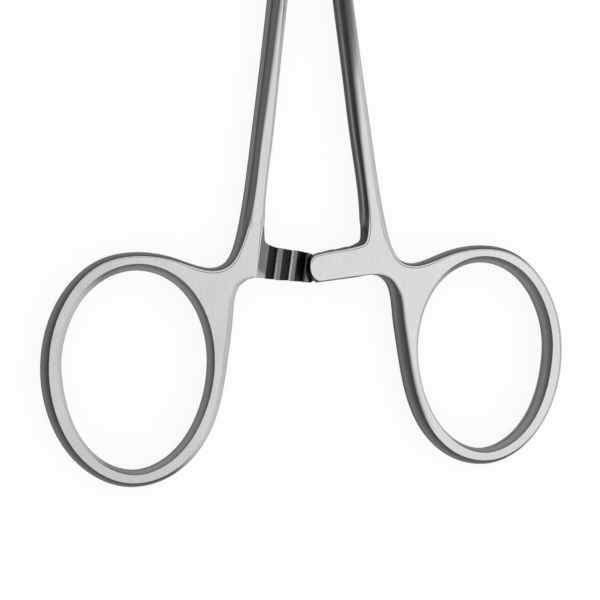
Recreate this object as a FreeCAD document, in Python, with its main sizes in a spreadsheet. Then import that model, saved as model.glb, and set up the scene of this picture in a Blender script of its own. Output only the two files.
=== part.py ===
import FreeCAD, Part
import math
import os

import Sketcher

# A ring-handled needle holder lying flat: +Z up through its thickness, +Y towards the jaws.
# The origin is on the pivot's axis, in the underside of the box lock.
# It has two halves: the female half carries the slotted box, the male half passes through it.
# Both halves start from the same lever, one turned over half a turn about the long axis.

DRIVING = [
    ("lever_thickness", 3.6, "thickness of the shanks, ratchet arms and finger rings"),
    ("box_thickness", 5.0, "thickness of the box lock"),
    ("box_half_width", 4.5, "half the box lock's width, at mid thickness"),
    ("box_half_length", 7.0, "radius of the cheeks' free ends about the pivot"),
    ("box_root", 1.2, "length of full section between the cheeks' ends and a shank or jaw"),
    ("box_side_inset", 0.35, "how far the box's flat stands inside its convex side"),
    ("parting_gap", 0.05, "gap from the middle plane to each half, where they face each other"),
    ("shoulder_gap", 0.15, "gap between the cheeks' ends and the male half's shoulders"),
    ("tongue_thickness", 1.8, "thickness of the male half inside the box"),
    ("tongue_gap", 0.05, "gap between the tongue and each cheek"),
    ("tongue_radius", 4.3, "radius of the tongue's eye about the pivot"),
    ("eye_gap", 0.1, "gap between the tongue's eye and the box's inner walls"),
    ("opening_angle", 45.0, "how far the male half opens"),
    ("opening_margin", 3.0, "extra angle that the slot leaves at full opening"),
    ("pin_radius", 1.2, "radius of the rivet's shaft"),
    ("pin_running_gap", 0.05, "radial gap between the shaft and the tongue's bore"),
    ("rivet_head_radius", 1.7, "radius of the rivet's spread ends"),
    ("rivet_head_depth", 0.5, "depth of the rivet's spread ends"),
    ("fork_length", 35.0, "pivot to where the shank takes its even thickness"),
    ("shank_spread_top", 4.88, "middle plane to the shank's centre line at the fork"),
    ("shank_spread_foot", 8.87, "middle plane to the shank's centre line at its foot"),
    ("shank_bow", 0.05, "how far the shank bows in from a straight line"),
    ("shank_width_top", 2.94, "shank's width at mid thickness, at the fork"),
    ("shank_width_foot", 3.50, "shank's width at mid thickness, at its foot"),
    ("shank_flat_top", 0.60, "width of the shank's flat at the fork"),
    ("shank_flat_foot", 1.62, "width of the shank's flat at its foot"),
    ("shank_flat_shift", 0.2, "how far the shank's flat stands in from its centre line"),
    ("ring_distance", 85.96, "pivot to the finger rings' centres, along the instrument"),
    ("ring_spread", 25.92, "middle plane to the finger rings' centres"),
    ("hole_half_width", 10.87, "half the finger hole's width on the flat"),
    ("hole_half_length", 14.57, "half the finger hole's length on the flat"),
    ("hole_lean", -0.24, "how far the hole's long axis leans out at its top"),
    ("hole_egg", 0.31, "how far the hole swells at its upper outer and lower inner side"),
    ("hole_bulge", 0.72, "how far the hole's wall swells in at mid thickness, at its sides"),
    ("hole_bulge_rise", 0.28, "how much more that wall swells at the hole's top, and less at its bottom"),
    ("rim_side_width", 1.06, "width of the ring's flat at its sides"),
    ("rim_end_width", 1.15, "width of the ring's flat at its ends"),
    ("rim_shift", 0.14, "how far the rim's outline stands out from the hole's centre"),
    ("rim_egg", 0.09, "how far the rim swells at its upper outer and lower inner side"),
    ("rim_side_bulge", 0.98, "how far the rim's wall swells out at its sides"),
    ("rim_end_bulge", 0.66, "how far the rim's wall swells out at its ends, on the mean"),
    ("rim_bulge_fall", 0.15, "how much less that wall swells at the rim's top, and more at its bottom"),
    ("crotch_spread", 14.8, "middle plane to the bottom of the crotch between shank and ring"),
    ("crotch_drop", 2.41, "top of the rim to the bottom of that crotch"),
    ("foot_rise", 7.65, "that crotch up to the shank's foot"),
    ("arm_drop", 0.95, "that crotch up to the ratchet arm's middle at its root"),
    ("arm_root_width", 4.15, "width of the ratchet arm at its root"),
    ("arm_tip_width", 3.65, "width of the ratchet arm at its tip"),
    ("arm_fall", 0.88, "how far the arm slopes down from root to tip"),
    ("arm_root_spread", 6.3, "middle plane to the arm's root"),
    ("arm_overreach", 0.95, "how far the arm's tip reaches past the middle plane"),
    ("arm_gap", 0.05, "gap from mid thickness to each arm's toothed face"),
    ("arm_low_bulge", 0.32, "how far the arm's lower wall swells out"),
    ("arm_top_bulge", 0.35, "how far the arm's upper wall swells out at its root"),
    ("arm_tip_bulge", 0.12, "how far the arm's upper wall and its end swell out at its tip"),
    ("arm_tip_start", 0.1, "middle plane to where the arm's upper edge turns into its tip"),
    ("arm_tip_slant", 0.3, "how much sooner the arm's lower edge turns into its tip than the upper"),
    ("tooth_pitch", 2.17, "pitch of the ratchet teeth"),
    ("tooth_ramp", 1.36, "length of a tooth's ramp"),
    ("tooth_depth", 0.6, "depth of a tooth"),
    ("tooth_crest", 0.2, "width and depth of the bevel on a tooth's crest"),
    ("tooth_lean", 8.5, "angle between the teeth and the long axis, along the shank"),
    ("first_tooth_spread", 5.44, "middle plane to the root tooth's steep face"),
    ("recess_spread", 8.6, "middle plane to the step where the toothed face starts"),
    ("recess_bend", 0.8, "how far that step bends in above the arm"),
    ("tooth_count", 4.0, "number of full teeth on each arm"),
    ("jaw_length", 28.0, "pivot to the tip of the jaws"),
    ("jaw_tip_width", 1.8, "width of one jaw at its tip"),
    ("jaw_tip_thickness", 2.6, "thickness of the jaws at their tip"),
    ("jaw_tip_rounding", 0.7, "rounding at the jaws' tip"),
    ("serration_start", 13.0, "pivot to the first serration"),
    ("serration_pitch", 0.7, "pitch of the serrations"),
    ("serration_depth", 0.22, "depth of the serrations"),
    ("serration_count", 20.0, "number of serrations on each jaw"),
]

doc = FreeCAD.newDocument("needle_holder")
sheet = doc.addObject("Spreadsheet::Sheet", "Sizes")
for row, (alias, value, meaning) in enumerate(DRIVING, start=1):
    sheet.set("A%d" % row, meaning)
    sheet.set("B%d" % row, str(value))
    sheet.setAlias("B%d" % row, alias)
doc.recompute()


def size(alias):
    """The value of one driving dimension."""
    return float(sheet.get(alias))


MID_HEIGHT = size("box_thickness") / 2.0

# How far a cut runs past the surface that it opens.
CUT_CLEARANCE = "1"


# Small helpers for sketches


def origin_plane(body, role):
    """One of the body's own origin planes."""
    for feature in body.Origin.OriginFeatures:
        if feature.Role == role:
            return feature
    raise ValueError(role)


def new_sketch(body, name, role, offset):
    """A sketch on an origin plane of the body, moved along its normal by an expression."""
    sketch = body.newObject("Sketcher::SketchObject", name)
    sketch.AttachmentSupport = [(origin_plane(body, role), "")]
    sketch.MapMode = "FlatFace"
    sketch.setExpression("AttachmentOffset.Base.z", offset)
    return sketch


def value_of(expression):
    """The number that an expression of the sheet stands for."""
    return float(sheet.evalExpression(expression))


def bind(sketch, kind, geometry, expression):
    """A dimension of the sketch, bound to an expression."""
    index = sketch.addConstraint(Sketcher.Constraint(kind, *geometry, value_of(expression)))
    sketch.setExpression("Constraints[%d]" % index, expression)


def on_arc(words, other):
    """The coordinate that puts a corner on an arc about the pivot: words are arc+RADIUS or arc-RADIUS."""
    reach = value_of(words[4:])
    return math.copysign(math.sqrt(reach * reach - other * other), 1.0 if words[3] == "+" else -1.0)


def closed_path(sketch, corners):
    """A closed path through corners (x, y, radius): a line to the next corner, or an arc about the pivot.

    One coordinate of a corner may be arc+RADIUS or arc-RADIUS, which puts it on that arc.
    """
    places = []
    for x_size, y_size, radius in corners:
        if x_size.startswith("arc"):
            y = value_of(y_size)
            x = on_arc(x_size, y)
        else:
            x = value_of(x_size)
            y = on_arc(y_size, x) if y_size.startswith("arc") else value_of(y_size)
        places.append(FreeCAD.Vector(x, y, 0))
    count = len(corners)
    ends = []
    for i in range(count):
        here, there = places[i], places[(i + 1) % count]
        radius = corners[i][2]
        if radius is None:
            index = sketch.addGeometry(Part.LineSegment(here, there), False)
            ends.append((index, 1, 2))
            continue
        start, stop = math.atan2(here.y, here.x), math.atan2(there.y, there.x)
        turn = (stop - start + math.pi) % (2 * math.pi) - math.pi
        circle = Part.Circle(FreeCAD.Vector(0, 0, 0), FreeCAD.Vector(0, 0, 1), value_of(radius))
        first, last = (start, stop) if turn > 0 else (stop, start)
        index = sketch.addGeometry(Part.ArcOfCircle(circle, first, last), False)
        sketch.addConstraint(Sketcher.Constraint("Coincident", index, 3, -1, 1))
        bind(sketch, "Radius", (index,), radius)
        ends.append((index, 1, 2) if turn > 0 else (index, 2, 1))
    for i in range(count):
        geometry, first, last = ends[i]
        following, start, _ = ends[(i + 1) % count]
        sketch.addConstraint(Sketcher.Constraint("Coincident", geometry, last, following, start))
    for i in range(count):
        geometry, first, _ = ends[i]
        if not corners[i][0].startswith("arc"):
            bind(sketch, "DistanceX", (-1, 1, geometry, first), corners[i][0])
        if not corners[i][1].startswith("arc"):
            bind(sketch, "DistanceY", (-1, 1, geometry, first), corners[i][1])


# The lever: shank, web, ratchet arm and finger ring


def blend(start, end, share):
    """A value part of the way from start to end."""
    return start + (end - start) * share


def ovoid(centre_x, half_width, half_length, lean, egg, angle):
    """A point of an egg-shaped oval about a finger ring's centre."""
    x = centre_x + half_width * math.cos(angle) + lean * math.sin(angle) + egg * math.sin(2 * angle)
    return x, -size("ring_distance") + half_length * math.sin(angle)


def shank_station(share):
    """The shank's sides at a share of its length, from the fork (0) to the foot (1).

    Returns the inner and the outer side, each as (x on the flat, x at mid thickness).
    """
    centre = blend(size("shank_spread_top"), size("shank_spread_foot"), share)
    centre -= size("shank_bow") * 4 * share * (1 - share)
    middle = blend(size("shank_width_top"), size("shank_width_foot"), share ** 3) / 2
    flat = blend(size("shank_flat_top"), size("shank_flat_foot"), share) / 2
    flat_centre = centre - size("shank_flat_shift")
    return (flat_centre - flat, centre - middle), (flat_centre + flat, centre + middle)


# How the outlines run between the sizes above, as shares: 0 and 1 are the named ends.
# Shank's foot (1) to the crotch's bottom (0): across, along, and the swell as a share of the rim's top.
WEB_SIDE = ((0.845, 0.634, 1.8), (0.658, 0.320, 1.3), (0.414, 0.098, 0.95))
# The crotch's bottom (0) to the top of the rim (1), in the same terms.
RIM_SIDE = ((0.0, 0.0, 0.8), (0.195, 0.145, 0.8), (0.551, 0.705, 0.9))
# The leg from the rim to the arm: across from the rim's side (0) to the arm's root (1), along from the
# ring's centre (0) to the arm's lower edge (1), and the swell as a share of the rim's side.
LEG = ((0.080, 0.202, 1.0), (0.144, 0.489, 0.98), (0.218, 0.793, 0.85), (0.346, 0.936, 0.6),
       (0.563, 1.005, 0.25))
# The inner crotch: across from the arm's root (0) to the shank's inner edge (1), along from the arm's upper
# edge (0) to the shank's foot (1), and the swell as a share of the shank's foot.
INNER_CROTCH = ((0.654, 0.095, 0.69), (0.926, 0.324, 0.85))
# The arm's tip between its two edges: across as a share of its reach past the middle plane, and up from
# the tip's middle as a share of half its width.
ARM_TIP = ((0.5, -0.68), (1.0, 0.05), (0.68, 0.75))

# Where the rim's outline is laid through its points, as angles about the ring's centre.
RIM_DEGREES = (98, 68, 38, 8, -22, -52, -82, -112, -142, -172)
HOLE_POINTS = 12


def rim_swell(angle):
    """How far the rim's wall swells out at mid thickness, at an angle about the ring's centre."""
    even = blend(size("rim_end_bulge"), size("rim_side_bulge"), math.cos(angle) ** 2)
    return even - size("rim_bulge_fall") * math.sin(angle)


def hole_swell(angle):
    """How far the hole's wall swells in at mid thickness, at an angle about the ring's centre."""
    return size("hole_bulge") + size("hole_bulge_rise") * math.sin(angle)


def crotch_height():
    """The bottom of the crotch between shank and ring, along the instrument."""
    return size("hole_half_length") + size("rim_end_width") - size("ring_distance") - size("crotch_drop")


def foot_height():
    """The shank's foot, along the instrument."""
    return crotch_height() + size("foot_rise")


def shank_edge(side):
    """The shank's outer (side 1) or inner (side -1) edge, from the fork to its foot: (x, y, bulge)."""
    run = []
    for share in (0.0, 1 / 3, 2 / 3, 1.0):
        inner, outer = shank_station(share)
        on_flat, at_middle = outer if side > 0 else inner
        run.append((on_flat, blend(-size("fork_length"), foot_height(), share), abs(at_middle - on_flat)))
    return run


def arm_edge(side):
    """The arm's upper (side 1) or lower (side -1) edge, from its root to its tip: (x, y, bulge)."""
    root_bulge = size("arm_top_bulge") if side > 0 else size("arm_low_bulge")
    tip_bulge = size("arm_tip_bulge") if side > 0 else size("arm_low_bulge")
    end = size("arm_tip_start") + (0.0 if side > 0 else size("arm_tip_slant"))
    root_y = crotch_height() + size("arm_drop")
    run = []
    for share in (0.0, 0.5, 1.0):
        width = blend(size("arm_root_width"), size("arm_tip_width"), share)
        y = root_y - size("arm_fall") * share + side * width / 2
        run.append((blend(size("arm_root_spread"), end, share), y, blend(root_bulge, tip_bulge, share)))
    return run


def outer_run():
    """Shank's outer edge, crotch, rim, leg and the arm's lower edge: (x, y, bulge)."""
    run = shank_edge(1)
    lower_edge = arm_edge(-1)
    foot_x, crotch_x, crotch_y = run[-1][0], size("crotch_spread"), crotch_height()
    rim_width = size("hole_half_width") + size("rim_side_width")
    rim_length = size("hole_half_length") + size("rim_end_width")
    rim_x, ring_y = size("ring_spread") + size("rim_shift"), -size("ring_distance")
    top_bulge, side_bulge = rim_swell(math.pi / 2), rim_swell(math.pi)
    for across, along, swell in WEB_SIDE:
        y = crotch_y + size("foot_rise") * along
        run.append((blend(crotch_x, foot_x, across), y, top_bulge * swell))
    for across, along, swell in RIM_SIDE:
        y = crotch_y + size("crotch_drop") * along
        run.append((blend(crotch_x, rim_x, across), y, top_bulge * swell))
    for degrees in RIM_DEGREES:
        angle = math.radians(degrees)
        x, y = ovoid(rim_x, rim_width, rim_length, 0.0, size("rim_egg"), angle)
        run.append((x, y, rim_swell(angle)))
    root_x, root_y = lower_edge[0][:2]
    for across, along, swell in LEG:
        x = blend(rim_x - rim_width, root_x, across)
        run.append((x, blend(ring_y, root_y, along), side_bulge * swell))
    return run + lower_edge


def inner_run():
    """The arm's upper edge, the crotch and the shank's inner edge: (x, y, bulge)."""
    upper_edge, shank = arm_edge(1), shank_edge(-1)
    root_x, root_y = upper_edge[0][:2]
    foot_x, foot_y, foot_bulge = shank[-1]
    run = upper_edge[::-1]
    for across, along, swell in INNER_CROTCH:
        run.append((blend(root_x, foot_x, across), blend(root_y, foot_y, along), foot_bulge * swell))
    return run + shank[::-1]


def tip_run(start, end, turn, swell):
    """The rounded tip of the ratchet arm, between the ends of its two edges' curves."""
    reach = size("arm_overreach") + size("arm_tip_bulge") * swell
    middle_y, half = (start.y + end.y) / 2, (end.y - start.y) / 2
    between = [(-across * reach, middle_y + up * half, 0.0) for across, up in ARM_TIP]
    return [(turn * start.x, start.y, 0.0)] + between + [(turn * end.x, end.y, 0.0)]


def spline(points, turn, swell):
    """A curve through (x, y, bulge) points, moved out by their bulge where swell is 1.

    An end moves straight across or straight along the instrument, whichever is nearer its normal.
    """
    places = [FreeCAD.Vector(x, y, 0) for x, y, _ in points]
    lengths = [0.0]
    for here, there in zip(places, places[1:]):
        lengths.append(lengths[-1] + here.distanceToPoint(there))
    parameters = [length / lengths[-1] for length in lengths]
    curve = Part.BSplineCurve()
    curve.interpolate(Points=places, Parameters=parameters)
    moved = []
    for place, parameter, (_, _, bulge) in zip(places, parameters, points):
        along = curve.tangent(parameter)[0]
        out = FreeCAD.Vector(-along.y, along.x, 0)
        if parameter in (parameters[0], parameters[-1]):
            across = abs(out.x) > abs(out.y)
            out = FreeCAD.Vector(round(out.x) if across else 0, 0 if across else round(out.y), 0)
        moved.append(place + out * bulge * swell)
    mirrored = [FreeCAD.Vector(turn * place.x, place.y, 0) for place in moved]
    result = Part.BSplineCurve()
    result.interpolate(Points=mirrored, Parameters=parameters)
    return result


def lever_outline(sketch, turn, swell):
    """The lever's outline on a flat (swell 0) or at mid thickness (swell 1)."""
    outer_side, inner_side = spline(outer_run(), turn, swell), spline(inner_run(), turn, swell)
    sketch.addGeometry(outer_side, False)
    tip = tip_run(outer_side.EndPoint, inner_side.StartPoint, turn, swell)
    sketch.addGeometry(spline(tip, turn, 0), False)
    sketch.addGeometry(inner_side, False)
    sketch.addGeometry(Part.LineSegment(inner_side.EndPoint, outer_side.StartPoint), False)


def hole_outline(sketch, turn, swell):
    """The finger hole's outline on a flat or at mid thickness."""
    points = []
    for step in range(HOLE_POINTS):
        angle = 2 * math.pi * step / HOLE_POINTS
        inset = hole_swell(angle) * swell
        x, y = ovoid(size("ring_spread"), size("hole_half_width") - inset, size("hole_half_length") - inset,
                     size("hole_lean"), size("hole_egg"), angle)
        points.append(FreeCAD.Vector(turn * x, y, 0))
    curve = Part.BSplineCurve()
    curve.interpolate(Points=points, PeriodicFlag=True)
    sketch.addGeometry(curve, False)


def add_lever(body, prefix, turn):
    """Lofts the lever through its lower flat, its widest outline and its upper flat."""
    middle, half = "Sizes.box_thickness / 2", "Sizes.lever_thickness / 2"
    levels = (("%s - %s" % (middle, half), 0), (middle, 1), ("%s + %s" % (middle, half), 0))
    for stem, kind, outline in (("lever", "PartDesign::AdditiveLoft", lever_outline),
                                ("finger_hole", "PartDesign::SubtractiveLoft", hole_outline)):
        sketches = []
        for number, (height, swell) in enumerate(levels):
            name = "%s_%s_outline_%d" % (prefix, stem, number)
            sketch = new_sketch(body, name, "XY_Plane", height)
            outline(sketch, turn, swell)
            sketches.append(sketch)
        loft = body.newObject(kind, "%s_%s" % (prefix, stem))
        loft.Profile = sketches[0]
        loft.Sections = sketches[1:]
        doc.recompute()


# The root: from the even shank to the full section at the box lock


def cross_section(sketch, turn, inner, outer, half_height):
    """A section across a shank or jaw: each side as (x on the flat, x at mid thickness)."""
    def place(x, z):
        return FreeCAD.Vector(turn * x, z, 0)

    def side(flat, middle, first, last):
        curve = Part.BezierCurve()
        curve.setPoles([place(flat, first), place(2 * middle - flat, MID_HEIGHT), place(flat, last)])
        return curve.toBSpline()

    low, high = MID_HEIGHT - half_height, MID_HEIGHT + half_height
    sketch.addGeometry(Part.LineSegment(place(inner[0], low), place(outer[0], low)), False)
    sketch.addGeometry(side(outer[0], outer[1], low, high), False)
    sketch.addGeometry(Part.LineSegment(place(outer[0], high), place(inner[0], high)), False)
    sketch.addGeometry(side(inner[0], inner[1], high, low), False)


def loft_along(body, name, stations, draw):
    """Lofts a body through sections across the long axis: stations are (y expression, section values)."""
    sketches = []
    for number, (y, values) in enumerate(stations):
        sketch = new_sketch(body, "%s_section_%d" % (name, number), "XZ_Plane", "-(%s)" % y)
        draw(sketch, *values)
        sketches.append(sketch)
    loft = body.newObject("PartDesign::AdditiveLoft", name)
    loft.Profile = sketches[0]
    loft.Sections = sketches[1:]
    doc.recompute()


def add_root(body, prefix, turn):
    """The shank's root: thickens and widens from the fork to the box lock, where the halves meet."""
    fork_inner, fork_outer = shank_station(0.0)
    gap, width = size("parting_gap"), size("box_half_width")
    box_flat = width - size("box_side_inset")
    stations = []
    for share in (0.0, 0.25, 0.5, 0.75, 1.0):
        easing = share * share * (3 - 2 * share)
        widening = 1 - (1 - share) ** 2
        inner = (blend(fork_inner[0], gap, share), blend(fork_inner[1], gap, share))
        outer = (blend(fork_outer[0], box_flat, widening), blend(fork_outer[1], width, widening))
        height = blend(size("lever_thickness"), size("box_thickness"), easing) / 2
        y = "-Sizes.fork_length + (Sizes.fork_length - Sizes.box_half_length - Sizes.box_root) * %g" % share
        stations.append((y, (turn, inner, outer, height)))
    loft_along(body, prefix + "_root", stations, cross_section)


# How the jaw tapers: how much sooner than a straight line, its crown at the tip as a share of its width,
# and how many degrees of a quarter turn its nose is rounded through.
JAW_EARLY_TAPER = 0.15
JAW_TIP_CROWN = 0.5
NOSE_DEGREES = 71.6


def add_jaw(body, prefix, turn):
    """One jaw: flat on its gripping side, rounded outside, tapering to a rounded nose."""
    gap, width = size("parting_gap"), size("box_half_width")
    rounding, nose_reach = size("jaw_tip_rounding"), math.sin(math.radians(NOSE_DEGREES))

    def values(share, cut):
        taper = share * (1 + JAW_EARLY_TAPER * (1 - share))
        outer = blend(width, size("jaw_tip_width") + gap, taper) - cut
        crown = blend(size("box_side_inset"), JAW_TIP_CROWN * outer, share * (2 - share))
        height = blend(size("box_thickness"), size("jaw_tip_thickness"), taper) / 2 - cut
        return turn, (gap, gap), (outer - crown, outer), height

    stations = []
    for share in (0.0, 0.2, 0.45, 0.75, 1.0):
        y = "%s + (Sizes.jaw_length - Sizes.jaw_tip_rounding - %s) * %g" % (ROOT_END, ROOT_END, share)
        stations.append((y, values(share, 0.0)))
    loft_along(body, prefix + "_jaw", stations, cross_section)
    stations = []
    for share in (0.0, 0.5, 0.85, 1.0):
        y = "Sizes.jaw_length - Sizes.jaw_tip_rounding * %g" % (1 - share)
        cut = rounding * (1 - math.cos(math.asin(nose_reach * share)))
        stations.append((y, values(1.0, cut)))
    loft_along(body, prefix + "_nose", stations, cross_section)


# The box lock


GAP = "Sizes.parting_gap"
ROOT_END = "(Sizes.box_half_length + Sizes.box_root)"
HALF_BOX = "Sizes.box_thickness / 2"


def add_levels(body, name, path):
    """Lofts a body from the underside through mid thickness to the top: path(width) gives the corners."""
    sketches = []
    for number, height in enumerate(("0", HALF_BOX, "Sizes.box_thickness")):
        width = "Sizes.box_half_width" if number == 1 else "(Sizes.box_half_width - Sizes.box_side_inset)"
        sketch = new_sketch(body, "%s_level_%d" % (name, number), "XY_Plane", height)
        closed_path(sketch, path(width))
        sketches.append(sketch)
    loft = body.newObject("PartDesign::AdditiveLoft", name)
    loft.Profile = sketches[0]
    loft.Sections = sketches[1:]
    doc.recompute()


def box_path(width):
    """The box's outline: shank root at rear left, jaw root at front right, free ends round the pivot."""
    reach = "Sizes.box_half_length"
    return [("-" + GAP, "-" + ROOT_END, None),
            ("-" + width, "-" + ROOT_END, None),
            ("-" + width, "arc+" + reach, reach),
            (GAP, "arc+" + reach, None),
            (GAP, ROOT_END, None),
            (width, ROOT_END, None),
            (width, "arc-" + reach, reach),
            ("-" + GAP, "arc-" + reach, None)]


def shoulder_path(width, front):
    """A shoulder of the male half, hollowed round the cheeks' free end."""
    reach = "(Sizes.box_half_length + Sizes.shoulder_gap)"
    across, along = ("-", "") if front else ("", "-")
    side = "arc+" if front else "arc-"
    return [(across + GAP, along + ROOT_END, None),
            (across + width, along + ROOT_END, None),
            (across + width, side + reach, reach),
            (across + GAP, side + reach, None)]


def add_slot(body):
    """The slot between the cheeks: room for the tongue from closed to fully open."""
    sketch = new_sketch(body, "slot_outline", "XY_Plane", HALF_BOX)
    reach = "(Sizes.tongue_radius + Sizes.eye_gap)"
    angle = "(Sizes.opening_angle + Sizes.opening_margin)"
    clear = "(2 * Sizes.box_half_width)"
    wall_x = "%s * cos(%s)" % (reach, angle)
    wall_y = "((%s - %s) / tan(%s) - %s * sin(%s))" % (clear, wall_x, angle, reach, angle)
    end = "(%s + %s)" % (ROOT_END, CUT_CLEARANCE)
    closed_path(sketch, [(GAP, end, None),
                         ("-" + clear, end, None),
                         ("-" + clear, wall_y, None),
                         ("-(%s)" % wall_x, "arc-" + reach, reach),
                         ("-" + GAP, "arc-" + reach, None),
                         ("-" + GAP, "-" + end, None),
                         (clear, "-" + end, None),
                         (clear, "-" + wall_y, None),
                         (wall_x, "arc+" + reach, reach),
                         (GAP, "arc+" + reach, None)])
    slot = body.newObject("PartDesign::Pocket", "slot")
    slot.Profile = sketch
    slot.SideType = "Symmetric"
    slot.setExpression("Length", "Sizes.tongue_thickness + 2 * Sizes.tongue_gap")
    doc.recompute()


def add_tongue(body):
    """The tongue: an eye round the rivet with one prong to the shank and one to the jaw."""
    sketch = new_sketch(body, "tongue_outline", "XY_Plane", HALF_BOX)
    reach = "Sizes.tongue_radius"
    end = "(%s - Sizes.box_root / 2)" % ROOT_END
    closed_path(sketch, [("-" + GAP, end, None),
                         ("-" + reach, end, None),
                         ("arc-" + reach, "0", reach),
                         (GAP, "arc-" + reach, None),
                         (GAP, "-" + end, None),
                         (reach, "-" + end, None),
                         ("arc+" + reach, "0", reach),
                         ("-" + GAP, "arc+" + reach, None)])
    tongue = body.newObject("PartDesign::Pad", "tongue")
    tongue.Profile = sketch
    tongue.SideType = "Symmetric"
    tongue.setExpression("Length", "Sizes.tongue_thickness")
    doc.recompute()


def rivet_profile(body, name):
    """Half the rivet's section: a shaft with spread ends, flush with both faces of the box."""
    sketch = new_sketch(body, name, "XZ_Plane", "0")
    head, shaft, depth = "Sizes.rivet_head_radius", "Sizes.pin_radius", "Sizes.rivet_head_depth"
    closed_path(sketch, [("0", "0", None),
                         (head, "0", None),
                         (shaft, depth, None),
                         (shaft, "Sizes.box_thickness - " + depth, None),
                         (head, "Sizes.box_thickness", None),
                         ("0", "Sizes.box_thickness", None)])
    return sketch


def revolve(body, kind, name, sketch):
    """A full turn of a profile about the pivot's axis."""
    feature = body.newObject(kind, name)
    feature.Profile = sketch
    feature.ReferenceAxis = (sketch, ["V_Axis"])
    feature.Angle = 360.0
    doc.recompute()
    return feature


def add_bore(body):
    """The tongue's bore, which turns on the rivet's shaft."""
    sketch = new_sketch(body, "bore_outline", "XY_Plane", HALF_BOX)
    circle = sketch.addGeometry(Part.Circle(FreeCAD.Vector(0, 0, 0), FreeCAD.Vector(0, 0, 1), 1.0), False)
    sketch.addConstraint(Sketcher.Constraint("Coincident", circle, 3, -1, 1))
    bind(sketch, "Radius", (circle,), "Sizes.pin_radius + Sizes.pin_running_gap")
    bore = body.newObject("PartDesign::Pocket", "bore")
    bore.Profile = sketch
    bore.SideType = "Symmetric"
    bore.setExpression("Length", "Sizes.box_thickness")
    doc.recompute()


# Ratchet teeth and serrations


ARM_Y = ("(Sizes.hole_half_length + Sizes.rim_end_width - Sizes.ring_distance"
         " - Sizes.crotch_drop + Sizes.arm_drop)")


def add_ratchet(body, prefix, turn, face_up):
    """Mills half the arm's thickness away and cuts saw teeth with bevelled crests, steep towards the tip."""
    sign = "-" if face_up else "+"
    mirror = "" if turn > 0 else "-"
    tall = "Sizes.arm_root_width"
    lean = "tan(Sizes.tooth_lean)"
    past = "%s(-(2 * Sizes.arm_overreach))" % mirror
    low = "%s - %s" % (ARM_Y, tall)
    high = "%s + %s" % (ARM_Y, tall)
    top = "%s + %s * 1.5" % (ARM_Y, tall)
    step_top = "Sizes.recess_spread - %s * %s" % (tall, lean)
    sketch = new_sketch(body, prefix + "_recess_outline", "XY_Plane",
                        "%s %s Sizes.arm_gap" % (HALF_BOX, sign))
    closed_path(sketch, [(past, low, None),
                         ("%s(Sizes.recess_spread + %s * %s)" % (mirror, tall, lean), low, None),
                         ("%s(%s)" % (mirror, step_top), high, None),
                         ("%s(%s - Sizes.recess_bend)" % (mirror, step_top), top, None),
                         (past, top, None)])
    recess = body.newObject("PartDesign::Pocket", prefix + "_recess")
    recess.Profile = sketch
    recess.Reversed = face_up
    recess.setExpression("Length", "Sizes.box_thickness")
    doc.recompute()

    notch_sketch = new_sketch(body, prefix + "_tooth_outline", "XZ_Plane", "-" + ARM_Y)
    rotation = FreeCAD.Rotation(FreeCAD.Vector(0, turn, 0), size("tooth_lean"))
    notch_sketch.AttachmentOffset = FreeCAD.Placement(FreeCAD.Vector(0, 0, 0), rotation)
    notch_sketch.setExpression("AttachmentOffset.Base.z", "-" + ARM_Y)
    notch_sketch.setExpression("AttachmentOffset.Rotation.Angle", "Sizes.tooth_lean")
    face = "(%s %s Sizes.arm_gap)" % (HALF_BOX, sign)
    outward, inward = ("+", "-") if face_up else ("-", "+")
    clear = "%s %s %s" % (face, outward, CUT_CLEARANCE)
    steep = "Sizes.first_tooth_spread * cos(Sizes.tooth_lean)"
    crest = "%s(%s - Sizes.tooth_crest)" % (mirror, steep)
    wall = "%s(%s)" % (mirror, steep)
    ramp_end = "%s(%s + Sizes.tooth_ramp)" % (mirror, steep)
    closed_path(notch_sketch, [(crest, clear, None),
                               (crest, face, None),
                               (wall, "%s %s Sizes.tooth_crest" % (face, inward), None),
                               (wall, "%s %s Sizes.tooth_depth" % (face, inward), None),
                               (ramp_end, face, None),
                               (ramp_end, clear, None)])
    notch = body.newObject("PartDesign::Pocket", prefix + "_tooth")
    notch.Profile = notch_sketch
    notch.SideType = "Symmetric"
    notch.setExpression("Length", "Sizes.arm_root_width * 2")
    doc.recompute()
    repeat(body, prefix + "_teeth", notch, (notch_sketch, ["H_Axis"]), turn > 0,
           "Sizes.tooth_pitch * cos(Sizes.tooth_lean)", "Sizes.tooth_count")


def repeat(body, name, feature, direction, backwards, spacing, count):
    """A row of copies of a cut."""
    pattern = body.newObject("PartDesign::LinearPattern", name)
    pattern.Originals = [feature]
    pattern.Direction = direction
    pattern.Reversed = backwards
    pattern.Mode = "Spacing"
    pattern.setExpression("Offset", spacing)
    pattern.setExpression("Occurrences", count)
    body.Tip = pattern
    doc.recompute()


def add_serrations(body, prefix, turn):
    """A row of grooves across the jaw's gripping face."""
    mirror = "" if turn > 0 else "-"
    sketch = new_sketch(body, prefix + "_serration_outline", "XY_Plane", HALF_BOX)
    surface = "%s(-Sizes.parting_gap)" % mirror
    deep = "%s(Sizes.parting_gap + Sizes.serration_depth)" % mirror
    half = "(2 * Sizes.parting_gap + Sizes.serration_depth)"
    closed_path(sketch, [(surface, "Sizes.serration_start - " + half, None),
                         (deep, "Sizes.serration_start", None),
                         (surface, "Sizes.serration_start + " + half, None)])
    groove = body.newObject("PartDesign::Pocket", prefix + "_serration")
    groove.Profile = sketch
    groove.SideType = "Symmetric"
    groove.setExpression("Length", "Sizes.box_thickness * 1.2")
    doc.recompute()
    repeat(body, prefix + "_serrations", groove, (sketch, ["V_Axis"]), False,
           "Sizes.serration_pitch", "Sizes.serration_count")


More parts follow.
